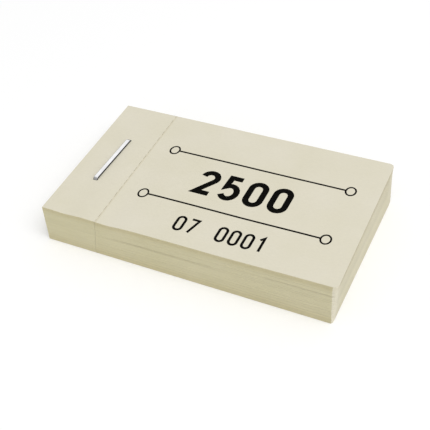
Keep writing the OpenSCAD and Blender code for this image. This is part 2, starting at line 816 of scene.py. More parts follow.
        # Random tint of each leaf; on the ends it grows with the level, as painted shade.
        tint_and_shade = self._chance(under, Draw.TINT) * (is_side + end_share * level * wear.end_tint)
        # Painted shade in paler and darker bands across the ends.
        pale_band = desk.maths("COSINE", (level - wear.pale_band) * (math.tau / wear.band_spacing))
        tint_and_shade = tint_and_shade - end_share * pale_band * wear.band_tint - rubbed_and_lit * rubbed_and_lit * wear.rubbed_tint
        # Painted shade on the edges at the pad's top and on the long edges at its base.
        depth = (1.0 - level) * (1.0 / wear.top_share)
        base_rim = bell(level * (1.0 / wear.base_share))
        edge_shade = (is_side + end_share * wear.end_soil) * bell(depth * depth) + is_side * base_rim
        # Painted shade on the rims of the faces inside the pad and along the perforation.
        is_rim = desk.maths("LESS_THAN", self._inset_from_side(across), wear.rim)
        is_inside = desk.maths("LESS_THAN", level, self.TOP_LEVEL)
        off_blade = desk.maths("ABSOLUTE", along - self._value("Perforation"))
        is_by_perforation = desk.maths("LESS_THAN", off_blade, wear.burr_reach)
        edge_shade = edge_shade + is_face * (is_rim * is_inside + is_by_perforation * wear.burr_soil)
        return self._store(self._store(leaves, self.TINT, tint_and_shade), self.SOIL, edge_shade)

    def _inset_from_side(self, across: Signal) -> Signal:
        """Distance of a point from the nearer long edge."""
        return self.shape.width / 2 - self.desk.maths("ABSOLUTE", across)

    def _nearness_to_side(self, across: Signal, reach: float) -> Signal:
        """How near a point lies to a long edge: 0 at the reach's distance from it, 1 on the edge."""
        return limited(1.0 - self._inset_from_side(across) * (1.0 / reach))

    def _corner_cut(self, along: Signal, across: Signal) -> Signal:
        """How far a point near a free corner is drawn back, so that the corner is round.

        Args:
            along: Distance from the stub end.
            across: Distance from the middle line.

        Returns:
            The distance to draw it back.
        """
        corner = self.trim.corner
        nearness = self._nearness_to_side(across, corner)
        depth = 1.0 - self.desk.maths("SQRT", 1.0 - nearness * nearness)
        at_end = limited((along - (self.shape.length - corner)) * (1.0 / corner))
        return depth * at_end * corner

    def carrier(self, leaves: Iterable[int]) -> bpy.types.Mesh:
        """Makes the mesh whose points stand for some leaves.

        Args:
            leaves: The leaves' numbers, counted from the top.

        Returns:
            The carrier mesh.
        """
        unders = [float(self.shape.leaf_count - leaf) for leaf in leaves]
        mesh = bpy.data.meshes.new("leaf_carrier")
        mesh.from_pydata([(0.0, 0.0, 0.0)] * len(unders), [], [])
        attribute = mesh.attributes.new(self.UNDER, "FLOAT", "POINT")
        attribute.data.foreach_set("value", unders)
        return mesh


class TicketTree(LeafTree):
    """Lays the tickets: plain sheets.

    Their columns crowd near the perforation, and their rows near the long edges.
    """

    NAME = "tickets"
    SIZES = (*LeafTree.SIZES, "Crowding")

    def _flat_leaf(self) -> bpy.types.NodeSocket:
        """Draws one flat ticket from the stub end.

        Returns:
            The ticket's geometry.
        """
        x, y, z = self._position()
        run = self.desk.maths("POWER", x + 0.5, self._value("Crowding"))
        along = self._value("Start") + (self._value("End") - self._value("Start")) * run
        across = self.desk.maths("SINE", y * math.pi) * self._value("Width") * 0.5
        return self._moved(self._unit_block(), along, across, (z + 0.5) * self._value("Paper"))


class StubTree(LeafTree):
    """Lays the stubs: sheets with a row of ties on the edge that the tickets hang on."""

    NAME = "stubs"
    SIZES = (*LeafTree.SIZES, "Slit", "Tie Length", "Tie Pitch", "First Tie")

    def _flat_leaf(self) -> bpy.types.NodeSocket:
        """Draws one flat stub, with a row on each side of each tie, and pulls the ties out of its edge.

        Returns:
            The stub's geometry.
        """
        desk = self.desk
        x, y, z = self._position()
        half_tie = self._value("Tie Length") * 0.5
        half_width = self._value("Width") * 0.5
        first_tie, tie_pitch = self._value("First Tie"), self._value("Tie Pitch")
        row = desk.maths("ROUND", (y + 0.5) * (self._value("Rows") - 1.0))
        tie = desk.maths("FLOOR", (row - 0.5) * 0.5)
        is_near_side = desk.maths("MODULO", row, 2.0)
        across = first_tie + tie * tie_pitch + half_tie * (1.0 - is_near_side * 2.0)
        across = desk.maths("MAXIMUM", desk.maths("MINIMUM", across, half_width), half_width * -1.0)
        along = self._value("Start") + (self._value("End") - self._value("Start")) * (x + 0.5)
        sheet = self._moved(self._unit_block(), along, across, (z + 0.5) * self._value("Paper"))
        turn = desk.maths("FRACT", (y - first_tie) / tie_pitch + 0.5)
        is_tie = desk.maths("LESS_THAN", desk.maths("ABSOLUTE", turn - 0.5) * tie_pitch, half_tie)
        faces_end = desk.maths("GREATER_THAN", self._normal()[0], self.FACING)
        pulled = desk.place("GeometryNodeExtrudeMesh", {
            "Mesh": sheet,
            "Selection": is_tie * faces_end,
            "Offset": (1.0, 0.0, 0.0),
            "Offset Scale": self._value("Slit"),
            "Individual": False,
        })
        return pulled.outputs[0]


def linked_object(name: str, mesh: bpy.types.Mesh) -> bpy.types.Object:
    """Puts a mesh in the scene, at the origin.

    Args:
        name: The object's name.
        mesh: Its mesh.

    Returns:
        The new object.
    """
    piece = bpy.data.objects.new(name, mesh)
    bpy.context.scene.collection.objects.link(piece)
    return piece


def baked(holder: bpy.types.Object, name: str) -> bpy.types.Mesh:
    """Runs an object's modifiers, keeps the result as a plain mesh, and removes the object.

    Args:
        holder: The object.
        name: The name of the new mesh.

    Returns:
        The plain mesh.
    """
    source = holder.data
    depsgraph = bpy.context.evaluated_depsgraph_get()
    mesh = bpy.data.meshes.new_from_object(holder.evaluated_get(depsgraph), depsgraph=depsgraph)
    holder.modifiers.clear()
    bpy.data.objects.remove(holder)
    bpy.data.meshes.remove(source)
    mesh.name = name
    return mesh


def plain_mesh(
    carrier: bpy.types.Mesh, tree: bpy.types.NodeTree, values: dict[str, object], name: str
) -> bpy.types.Mesh:
    """Runs a Geometry Nodes tree on a carrier and keeps the result as a plain mesh.

    Args:
        carrier: The mesh that goes into the tree.
        tree: The tree.
        values: The tree's inputs, by their sockets' identifiers.
        name: The name of the new mesh.

    Returns:
        The plain mesh.
    """
    holder = linked_object("carrier", carrier)
    modifier = holder.modifiers.new("nodes", "NODES")
    modifier.node_group = tree
    for identifier, value in values.items():
        modifier[identifier] = value
    return baked(holder, name)


def pierced(mesh: bpy.types.Mesh, room: bpy.types.Object) -> bpy.types.Mesh:
    """Cuts a shape out of a mesh.

    Args:
        mesh: The mesh to cut.
        room: The shape to cut out.

    Returns:
        The cut mesh.
    """
    holder = linked_object("uncut", mesh)
    modifier = holder.modifiers.new("holes", "BOOLEAN")
    modifier.operation = "DIFFERENCE"
    modifier.solver = "EXACT"
    modifier.object = room
    return baked(holder, mesh.name)


class MottleGroup:
    """Shader node group: soft irregular patches on Object coordinates, shared by all the finishes."""

    DETAIL = 3.0
    # Values of the noise that become the darkest and the brightest patches.
    NOISE_LOW = 0.3
    NOISE_HIGH = 0.7

    _tree: bpy.types.NodeTree | None = None

    @classmethod
    def tree(cls) -> bpy.types.NodeTree:
        """The group, built at its first use.

        Returns:
            The node group.
        """
        if cls._tree is None:
            cls._tree = cls._build()
        return cls._tree

    @classmethod
    def _build(cls) -> bpy.types.NodeTree:
        """Builds the group.

        Returns:
            The node group.
        """
        tree = bpy.data.node_groups.new("mottle", "ShaderNodeTree")
        desk = NodeDesk(tree)
        desk.open_input("Stretch", SocketKind.VECTOR)
        desk.open_input("Low", SocketKind.FLOAT)
        desk.open_input("High", SocketKind.FLOAT)
        desk.open_output("Mottle", SocketKind.FLOAT)
        inputs = desk.add("NodeGroupInput").outputs
        stretched = desk.add("ShaderNodeVectorMath", operation="MULTIPLY")
        desk.feed(stretched.inputs[0], desk.add("ShaderNodeTexCoord").outputs["Object"])
        desk.feed(stretched.inputs[1], inputs["Stretch"])
        noise = desk.place("ShaderNodeTexNoise", {
            "Vector": stretched.outputs[0],
            "Scale": 1.0,
            "Detail": cls.DETAIL,
        })
        ranged = desk.place("ShaderNodeMapRange", {
            "Value": noise.outputs[0],
            "From Min": cls.NOISE_LOW,
            "From Max": cls.NOISE_HIGH,
            "To Min": inputs["Low"],
            "To Max": inputs["High"],
        })
        desk.end(ranged.outputs[0])
        return tree


def evenly(per_metre: float) -> Density:
    """The same density along X, Y and Z."""
    return (per_metre, per_metre, per_metre)


@dataclass(frozen=True)
class Patches:
    """Soft irregular patches on a surface.

    Attributes:
        per_metre: Patches in a metre along X, Y and Z.
        low: Value of the darkest patches.
        high: Value of the brightest patches.
    """

    per_metre: Density
    low: float = 0.0
    high: float = 1.0

    def on(self, desk: NodeDesk) -> Signal:
        """Places the patches in a material.

        Args:
            desk: The material's desk.

        Returns:
            The patches' value.
        """
        inputs = {"Stretch": self.per_metre, "Low": self.low, "High": self.high}
        node = desk.place("ShaderNodeGroup", inputs, node_tree=MottleGroup.tree())
        return desk.signal(node.outputs[0])


@dataclass(frozen=True)
class Relief:
    """A fine relief on a surface.

    Attributes:
        strength: How strongly it shows, up to 1.
        depth: Its depth.
    """

    strength: float
    depth: float

    def on(self, desk: NodeDesk, height: Signal) -> bpy.types.NodeSocket:
        """The normal of a surface with the relief, whose height is given as a share of its depth."""
        inputs = {"Height": height, "Strength": self.strength, "Distance": self.depth}
        return desk.place("ShaderNodeBump", inputs).outputs[0]


class Finish:
    """A surface finish, which makes one procedural material."""

    name = "finish"

    def material(self) -> bpy.types.Material:
        """Makes the material.

        Returns:
            The new material.
        """
        material = bpy.data.materials.new(self.name)
        material.use_nodes = True
        material.node_tree.nodes.clear()
        desk = NodeDesk(material.node_tree)
        shader = desk.place("ShaderNodeBsdfPrincipled", self.dress(desk))
        desk.feed(desk.add("ShaderNodeOutputMaterial").inputs["Surface"], shader.outputs[0])
        return material

    def dress(self, desk: NodeDesk) -> dict[str, object]:
        """Gives what goes into the shader's inputs, by their names."""
        raise NotImplementedError


def opaque(colour: Colour) -> tuple[float, float, float, float]:
    """A colour with full alpha."""
    return (*colour, 1.0)


def mixed(
    desk: NodeDesk, factor: object, first: object, second: object, blend: Blend = Blend.MIX
) -> bpy.types.NodeSocket:
    """Mixes two colours.

    Args:
        desk: The material's desk.
        factor: Share of the second colour.
        first: A colour or a socket.
        second: A colour or a socket.
        blend: The way to mix them.

    Returns:
        The mixed colour.
    """
    node = desk.add("ShaderNodeMix", data_type="RGBA", blend_type=blend.value)
    desk.feed(node.inputs[MIX_FACTOR], factor)
    desk.feed(node.inputs[MIX_FIRST], first)
    desk.feed(node.inputs[MIX_SECOND], second)
    return node.outputs[MIX_RESULT]


@dataclass(frozen=True)
class PaperFinish(Finish):
    """Uncoated cream paper with faint fibres, yellower where it is cut, with painted light and shade on its
    edges and faces.

    Attributes:
        face: Colour of the paper's faces.
        edge: Colour of its long cut edges.
        darkest: Brightness of the darkest leaves' cut edges.
        soiled: What painted shade leaves of the paper's colour.
        clouds: Broad patches of shade.
        fibres: Fine patches of shade and relief.
        roughness: Patches of roughness.
        specular: Strength of the gloss.
        relief: Relief of the fibres.
    """

    name = "cream_paper"
    face: Colour = (0.735, 0.695, 0.572)
    edge: Colour = (0.733, 0.682, 0.46)
    darkest: float = 0.88
    soiled: Colour = (0.91, 0.885, 0.82)
    clouds: Patches = Patches(evenly(110.0), low=0.965, high=1.0)
    fibres: Patches = Patches((1500.0, 3200.0, 3200.0), low=0.97, high=1.0)
    roughness: Patches = Patches(evenly(900.0), low=0.82, high=0.95)
    specular: float = 0.25
    relief: Relief = Relief(strength=0.25, depth=0.02 * MILLIMETRE)

    def dress(self, desk: NodeDesk) -> dict[str, object]:
        """Gives what goes into the shader's inputs.

        Args:
            desk: The material's desk.

        Returns:
            Constants, sockets and signals, by the inputs' names.
        """
        clean = mixed(desk, desk.attribute(LeafTree.CUT_EDGE), opaque(self.face), opaque(self.edge))
        # Painted shade: the paper's colour darkened where the leaves mark it.
        soiled = mixed(desk, 1.0, clean, opaque(self.soiled), Blend.MULTIPLY)
        base = mixed(desk, desk.attribute(LeafTree.SOIL), clean, soiled)
        clouds = self.clouds.on(desk)
        fibres = self.fibres.on(desk)
        shade = clouds * fibres * (1.0 - desk.attribute(LeafTree.TINT) * (1.0 - self.darkest))
        tones = desk.place("ShaderNodeCombineColor", {"Red": shade, "Green": shade, "Blue": shade * clouds})
        return {
            "Base Color": mixed(desk, 1.0, base, tones.outputs[0], Blend.MULTIPLY),
            "Roughness": self.roughness.on(desk),
            "Specular IOR Level": self.specular,
            "Normal": self.relief.on(desk, fibres),
        }


@dataclass(frozen=True)
class InkFinish(Finish):
    """Black printing ink, a little uneven where the paper took it.

    Attributes:
        dense: Colour where the ink is dense.
        thin: Colour where it is thin.
        cover: Patches of dense and thin ink.
        roughness: Patches of roughness.
        specular: Strength of the gloss.
    """

    name = "black_ink"
    dense: Colour = (0.0012, 0.0012, 0.001)
    thin: Colour = (0.0065, 0.006, 0.005)
    cover: Patches = Patches(evenly(2600.0))
    roughness: Patches = Patches(evenly(1400.0), low=0.75, high=0.9)
    specular: float = 0.02

    def dress(self, desk: NodeDesk) -> dict[str, object]:
        """Gives what goes into the shader's inputs.

        Args:
            desk: The material's desk.

        Returns:
            Constants, sockets and signals, by the inputs' names.
        """
        return {
            "Base Color": mixed(desk, self.cover.on(desk), opaque(self.dense), opaque(self.thin)),
            "Roughness": self.roughness.on(desk),
            "Specular IOR Level": self.specular,
        }


@dataclass(frozen=True)
class WireFinish(Finish):
    """Bright plated flat wire with drawing lines along it and dull spots, and painted shade on its narrow
    sides and bends.

    Attributes:
        bright: Colour of the clean plating.
        dull: Colour of the dull spots.
        bare: Painted shade colour of the narrow sides and of the outsides of the bends.
        lines: Drawing lines along the crown.
        spots: Dull spots.
        roughness: Roughness of the clean plating.
        line_roughness: What the drawing lines add to it.
        bare_roughness: What the shaded sides add to it.
        relief: Relief of the drawing lines.
    """

    # Where painted shade darkens the wire.
    BARE = "bare_side"

    name = "plated_wire"
    bright: Colour = (0.95, 0.95, 0.96)
    dull: Colour = (0.72, 0.72, 0.73)
    bare: Colour = (0.014, 0.014, 0.013)
    lines: Patches = Patches((9000.0, 300.0, 9000.0))
    spots: Patches = Patches(evenly(700.0), low=0.0, high=0.5)
    roughness: float = 0.24
    line_roughness: float = 0.12
    bare_roughness: float = 0.3
    relief: Relief = Relief(strength=0.15, depth=0.01 * MILLIMETRE)

    def dress(self, desk: NodeDesk) -> dict[str, object]:
        """Gives what goes into the shader's inputs.

        Args:
            desk: The material's desk.

        Returns:
            Constants, sockets and signals, by the inputs' names.
        """
        lines = self.lines.on(desk)
        # Painted shade and dark reflection on the narrow sides and the outsides of the bends.
        side_shading = desk.attribute(self.BARE)
        plating = mixed(desk, self.spots.on(desk), opaque(self.bright), opaque(self.dull))
        return {
            "Base Color": mixed(desk, side_shading, plating, opaque(self.bare)),
            "Roughness": lines * self.line_roughness + side_shading * self.bare_roughness + self.roughness,
            "Metallic": 1.0,
            "Normal": self.relief.on(desk, lines),
        }


@dataclass
class PaperLeaves:
    """The stubs and the tickets, sheet by sheet.

    Attributes:
        shape: Where the leaves lie.
        perforation: The slits between stubs and tickets.
        trim: How far the leaves' edges stray.
        wear: How worn the leaves are.
        finish: The paper's finish.
        stub_columns: Points along each stub.
        single_grid: Division of the tickets that lift one by one.
        bundle_grid: Division of the tickets in bundles.
        seed: Start of all that is random.
    """

    shape: PadShape
    perforation: Perforation = Perforation()
    trim: Trim = Trim()
    wear: Wear = Wear()
    finish: PaperFinish = PaperFinish()
    stub_columns: int = 15
    single_grid: SheetGrid = SheetGrid(columns=57, rows=21, crowding=1.25)
    bundle_grid: SheetGrid = SheetGrid(columns=45, rows=17, crowding=1.25)
    seed: int = 4

    def __post_init__(self) -> None:
        """Builds the trees and the material that all the sheets share."""
        self.stub_tree = StubTree(self.shape, self.trim, self.wear)
        self.ticket_tree = TicketTree(self.shape, self.trim, self.wear)
        self.material = self.finish.material()

    def build(self, room: bpy.types.Object) -> None:
        """Makes all the sheets.

        Args:
            room: Shape of the holes that the staple needs in the stubs.
        """
        for node in frame["nodes"]:
            if node.startswith("stubs_"):
                self._stub_piece(node, room)
            elif node.startswith("ticket_"):
                self._ticket_piece(node, self.single_grid)
            elif node.startswith("tickets_"):
                self._ticket_piece(node, self.bundle_grid)

    @property
    def slit_middle(self) -> float:
        """Distance from the stub end to the middle of the slits."""
        return self.shape.ticket_start - self.perforation.slit / 2

    def _sheets(self, tree: LeafTree, node: str, sizes: dict[str, object]) -> bpy.types.Mesh:
        """Makes the sheets that stand for one node.

        Args:
            tree: The tree that lays them.
            node: The node's name.
            sizes: The tree's inputs that these sheets have of their own.

        Returns:
            The sheets' mesh.
        """
        shared = {
            "Width": self.shape.width,
            "Paper": self.shape.paper,
            "Perforation": self.slit_middle,
            "Seed": self.seed,
            "Material": self.material,
        }
        values = {tree.sockets[name]: value for name, value in {**shared, **sizes}.items()}
        return plain_mesh(tree.carrier(leaves_of(node)), tree.tree, values, node)

    def _stub_piece(self, node: str, room: bpy.types.Object) -> None:
        """Makes the stubs of one node, with the staple's holes cut through them.

        Args:
            node: The node's name.
            room: Shape of the holes.
        """
        cut = self.perforation
        mesh = self._sheets(self.stub_tree, node, {
            "Start": 0.0,
            "End": self.slit_middle - cut.slit / 2,
            "Slit": cut.slit,
            "Tie Length": cut.tie_length,
            "Tie Pitch": cut.tie_pitch,
            "First Tie": -cut.tie_pitch * (cut.tie_count - 1) / 2,
            "Columns": self.stub_columns,
            "Rows": 2 * cut.tie_count + 2,
        })
        settle(linked_object(f"paper_{node}", pierced(mesh, room)), node)

    def _ticket_piece(self, node: str, grid: SheetGrid) -> None:
        """Makes the tickets of one node.

        Args:
            node: The node's name.
            grid: Division of the sheets.
        """
        mesh = self._sheets(self.ticket_tree, node, {
            "Start": self.slit_middle + self.perforation.slit / 2,
            "End": self.shape.length,
            "Crowding": grid.crowding,
            "Columns": grid.columns,
            "Rows": grid.rows,
        })
        settle(linked_object(f"paper_{node}", mesh), node)


def body_of_node(node: str) -> str:
    """The body that a node of the frame belongs to."""
    return frame["nodes"][node]["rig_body"]


def settle(piece: bpy.types.Object, node: str) -> None:
    """Shades a piece sharply at its edges, lets it stand for a node of the frame, and reports it.

    Args:
        piece: The piece.
        node: The node's name.
    """
    piece.data.set_sharp_from_angle(angle=SHARPEST_SMOOTH)
    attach(piece, body_of_node(node))
    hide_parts(node)
    LOG.info("%s stands for %s: %d faces", piece.name, node, len(piece.data.polygons))


@dataclass
class Staple:
    """The flat-wire staple.

    Attributes:
        shape: Where the leaves lie.
        finish: The wire's finish.
        crown_length: Length of the crown, over its bends.
        wire_width: Width of the flat wire.
        wire_height: Thickness of the flat wire.
        inset: Distance from the stub end to the crown's middle.
        offset: Distance from the pad's middle line to the crown's middle.
        skew: Turn out of square, in degrees.
        tip_length: Length of each bent tip.
        bend: Radius of the wire's middle line in the bends.
        rounding: Radius of the wire's long edges.
        clearance: Room around the wire in the paper.
        bite: How deep the crown presses into the top leaf.
    """

    shape: PadShape
    finish: WireFinish = WireFinish()
    crown_length: float = 13.7 * MILLIMETRE
    wire_width: float = 0.96 * MILLIMETRE
    wire_height: float = 0.38 * MILLIMETRE
    inset: float = 5.9 * MILLIMETRE
    offset: float = 0.1 * MILLIMETRE
    skew: float = -1.9
    tip_length: float = 3.5 * MILLIMETRE
    bend: float = 0.5 * MILLIMETRE
    rounding: float = 0.12 * MILLIMETRE
    clearance: float = 0.03 * MILLIMETRE
    bite: float = 0.01 * MILLIMETRE

    BEND_POINTS = 8
    EDGE_POINTS = 4
    # Parts of a normal along X and Y at which the painted shade on the wire begins, and at which it is full.
    BARE_FROM = np.array((0.2, 0.15))
    BARE_FULL = np.array((0.5, 0.5))
    # How dark the painted shade on the outsides of the bends is, as a share of the narrow sides.
    BARE_BENDS = 0.65
    SIZES = ("Wire Width", "Wire Height", "Bend", "Rounding")

    def __post_init__(self) -> None:
        """Builds the tree that bends the wire."""
        self.sockets: dict[str, str] = {}
        self.tree = self._bent_wire_tree()
        self.material = self.finish.material()

    def _bent_wire_tree(self) -> bpy.types.NodeTree:
        """Builds the Geometry Nodes tree that sweeps the wire's section along a polyline.

        Returns:
            The tree.
        """
        tree = bpy.data.node_groups.new("bent_wire", "GeometryNodeTree")
        desk = NodeDesk(tree)
        desk.open_input("Polyline", SocketKind.GEOMETRY)
        for name in self.SIZES:
            self.sockets[name] = desk.open_input(name, SocketKind.FLOAT)
        self.sockets["Material"] = desk.open_input("Material", SocketKind.MATERIAL)
        desk.open_output("Wire", SocketKind.GEOMETRY)
        inputs = desk.add("NodeGroupInput").outputs
        path = desk.place("GeometryNodeMeshToCurve", {"Mesh": inputs["Polyline"]})
        bent = desk.place("GeometryNodeFilletCurve", {
            "Curve": path.outputs[0],
            "Count": self.BEND_POINTS,
            "Radius": inputs["Bend"],
        }, mode="POLY")
        section = desk.place("GeometryNodeCurvePrimitiveQuadrilateral", {
            "Width": inputs["Wire Width"],
            "Height": inputs["Wire Height"],
        })
        rounded = desk.place("GeometryNodeFilletCurve", {
            "Curve": section.outputs[0],
            "Count": self.EDGE_POINTS,
            "Radius": inputs["Rounding"],
        }, mode="POLY")
        swept = desk.place("GeometryNodeCurveToMesh", {
            "Curve": bent.outputs[0],
            "Profile Curve": rounded.outputs[0],
            "Fill Caps": True,
        })
        desk.end_dressed(swept.outputs[0], inputs["Material"])
        return tree

    def _wire(self, name: str, extra: float, crown_lift: float) -> bpy.types.Mesh:
        """Bends a wire in the staple's place.

        Args:
            name: The mesh's name.
            extra: How much thicker it is than the staple's own wire, on each side.
            crown_lift: How much higher its crown lies.

        Returns:
            The wire's mesh.
        """
        leg = (self.crown_length - self.wire_height) / 2
        tip = leg - self.wire_height / 2 - self.tip_length
        low = self.wire_height / 2
        seat = float(self.shape.upper_face(float(self.shape.top_under), self.inset, leg)) - self.bite
        high = seat + self.wire_height / 2 + crown_lift
        outline = [(-tip, low), (-leg, low), (-leg, high), (leg, high), (leg, low), (tip, low)]
        joints = [(i, i + 1) for i in range(len(outline) - 1)]
        polyline = bpy.data.meshes.new("staple_line")
        polyline.from_pydata([(0.0, y, z) for y, z in outline], joints, [])
        sizes = {
            "Wire Width": self.wire_width + 2 * extra,
            "Wire Height": self.wire_height + 2 * extra,
            "Bend": self.bend,
            "Rounding": self.rounding,
            "Material": self.material,
        }
        values = {self.sockets[key]: value for key, value in sizes.items()}
        mesh = plain_mesh(polyline, self.tree, values, name)
        turned = Matrix.Rotation(math.radians(self.skew), 4, "Z")
        mesh.transform(Matrix.Translation((self.shape.stub_end + self.inset, self.offset, 0.0)) @ turned)
        return mesh

    def room(self) -> bpy.types.Object:
        """Makes the shape of the holes that the legs and the tips need, with its crown clear of the paper.

        Returns:
            The shape, which is not part of the object.
        """
        mesh = self._wire("staple_room", self.clearance, self.wire_height)
        facing_outwards(mesh)
        return linked_object("staple_room", mesh)

    def _mark_bare_sides(self, mesh: bpy.types.Mesh) -> None:
        """Marks where painted shade darkens the wire: on its narrow sides, and in part on the outsides of its
        bends.

        Args:
            mesh: The staple's mesh.
        """
        tilts = np.array([[abs(normal.vector.x), abs(normal.vector.y)] for normal in mesh.vertex_normals])
        # Painted shade where the wire faces sideways.
        bare = np.clip((tilts - self.BARE_FROM) / (self.BARE_FULL - self.BARE_FROM), 0.0, 1.0)
        attribute = mesh.attributes.new(WireFinish.BARE, "FLOAT", "POINT")
        attribute.data.foreach_set("value", np.maximum(bare[:, 0], bare[:, 1] * self.BARE_BENDS))

    def build(self) -> None:
        """Makes the staple."""
        mesh = self._wire("staple", 0.0, 0.0)
        facing_outwards(mesh)
        self._mark_bare_sides(mesh)
        mesh.shade_smooth()
        settle(linked_object("wire_staple", mesh), "staple")


def facing_outwards(mesh: bpy.types.Mesh) -> None:
    """Turns all the faces of a closed mesh outwards.

    Args:
        mesh: The mesh.
    """
    work = bmesh.new()
    work.from_mesh(mesh)
    bmesh.ops.recalc_face_normals(work, faces=work.faces)
    work.to_mesh(mesh)
    work.free()


@dataclass(frozen=True)
class Stroke:
    """One line of the pen.

    Attributes:
        points: The points that it follows.
        closed: Whether it ends where it starts.
    """

    points: tuple[Point, ...]
    closed: bool = False


def arc(middle: Point, radii: Point, start: float, end: float, steps: int = ARC_STEPS) -> list[Point]:
    """Points along an arc of an ellipse.

    Args:
        middle: The ellipse's middle.
        radii: Its radii along X and Y.
        start: First angle, in degrees.
        end: Last angle, in degrees.
        steps: Number of steps.

    Returns:
        The points, both ends among them.
    """
    angles = [math.radians(start + (end - start) * i / steps) for i in range(steps + 1)]
    return [(middle[0] + radii[0] * math.cos(a), middle[1] + radii[1] * math.sin(a)) for a in angles]


def ring(middle: Point, radii: Point) -> Stroke:
    """A closed ellipse.

    Args:
        middle: Its middle.
        radii: Its radii along X and Y.

    Returns:
        The stroke.
    """
    return Stroke(tuple(arc(middle, radii, 0, 360, 2 * ARC_STEPS)[:-1]), closed=True)


class Numerals:
    """Plain numerals drawn with a pen of even width.

    Each stands in a box from (0, 0) to the width and height of the pen's middle line.
    """

    def __init__(self, width: float, height: float) -> None:
        """Takes the width and the height of the box."""
        self.width = width
        self.height = height

    def strokes(self, digit: str) -> list[Stroke]:
        """The strokes of one numeral."""
        return getattr(self, f"_draw_{digit}")()

    def _at(self, x: float, y: float) -> Point:
        """A point given in shares of the box."""
        return (x * self.width, y * self.height)

    def _arc(self, middle: Point, radii: Point, start: float, end: float) -> list[Point]:
        """An arc given in shares of the box."""
        return arc(self._at(*middle), self._at(*radii), start, end)

    def _ring(self, middle: Point, radii: Point) -> Stroke:
        """A closed ellipse given in shares of the box."""
        return ring(self._at(*middle), self._at(*radii))

    def _line(self, *shares: Point) -> Stroke:
        """A bent line given in shares of the box."""
        return Stroke(tuple(self._at(*share) for share in shares))

    def _draw_0(self) -> list[Stroke]:
        """A tall loop with straight sides.

        Returns:
            The numeral's strokes.
        """
        radius = self.width / 2
        top = arc((radius, self.height - radius), (radius, radius), 180, 0)
        bottom = arc((radius, radius), (radius, radius), 0, -180)
        return [Stroke(tuple(top + bottom), closed=True)]

    def _draw_1(self) -> list[Stroke]:
        """A short flag and a stem."""
        return [self._line((0.12, 0.8), (0.58, 1.0), (0.58, 0.0))]

    def _draw_2(self) -> list[Stroke]:
        """A hook, a slope and a foot.

        Returns:
            The numeral's strokes.
        """
        radius = self.width / 2
        hook = arc((radius, self.height - radius), (radius, radius), 175, -28)
        return [Stroke(tuple(hook + [(0.0, 0.0), (self.width, 0.0)]))]

    def _draw_3(self) -> list[Stroke]:
        """Two bows, one on the other.

        Returns:
            The numeral's strokes.
        """
        upper = self._arc((0.48, 0.76), (0.44, 0.24), 150, -90)
        lower = self._arc((0.48, 0.26), (0.52, 0.26), 90, -150)
        return [Stroke(tuple(upper)), Stroke(tuple(lower))]

    def _draw_4(self) -> list[Stroke]:
        """A slope with a bar, and a stem."""
        return [self._line((0.6, 1.0), (0.0, 0.26), (1.0, 0.26)), self._line((0.72, 0.5), (0.72, 0.0))]

    def _draw_5(self) -> list[Stroke]:
        """A bar, a short stem and a bowl."""
        bowl = self._arc((0.46, 0.31), (0.54, 0.31), 132, -150)
        return [Stroke(tuple([self._at(0.94, 1.0), self._at(0.14, 1.0)] + bowl))]

    def _draw_6(self) -> list[Stroke]:
        """A bowl with a straight tail above it.

        Returns:
            The numeral's strokes.
        """
        radius = self.width / 2
        loop = ring((radius, radius), (radius, radius))
        tail = [(radius * 1.5, self.height), (radius * 0.1, radius * 1.5)]
        return [loop, Stroke(tuple(tail))]

    def _draw_7(self) -> list[Stroke]:
        """A bar and a slope."""
        return [self._line((0.0, 1.0), (1.0, 1.0), (0.3, 0.0))]

    def _draw_8(self) -> list[Stroke]:
        """A small loop on a larger one."""
        return [self._ring((0.5, 0.765), (0.43, 0.235)), self._ring((0.5, 0.265), (0.5, 0.265))]

    def _draw_9(self) -> list[Stroke]:
        """A loop with a straight tail below it.

        Returns:
            The numeral's strokes.
        """
        radius = self.width / 2
        loop = ring((radius, self.height - radius), (radius, radius))
        tail = [(radius * 1.9, self.height - radius * 1.5), (radius * 0.5, 0.0)]
        return [loop, Stroke(tuple(tail))]


@dataclass(frozen=True)
class NumberStyle:
    """Size of a line of numerals.

    Attributes:
        height: Height of the numerals.
        width: Width of each.
        pitch: Distance from one to the next.
        pen: Width of the pen.
    """

    height: float
    width: float
    pitch: float
    pen: float


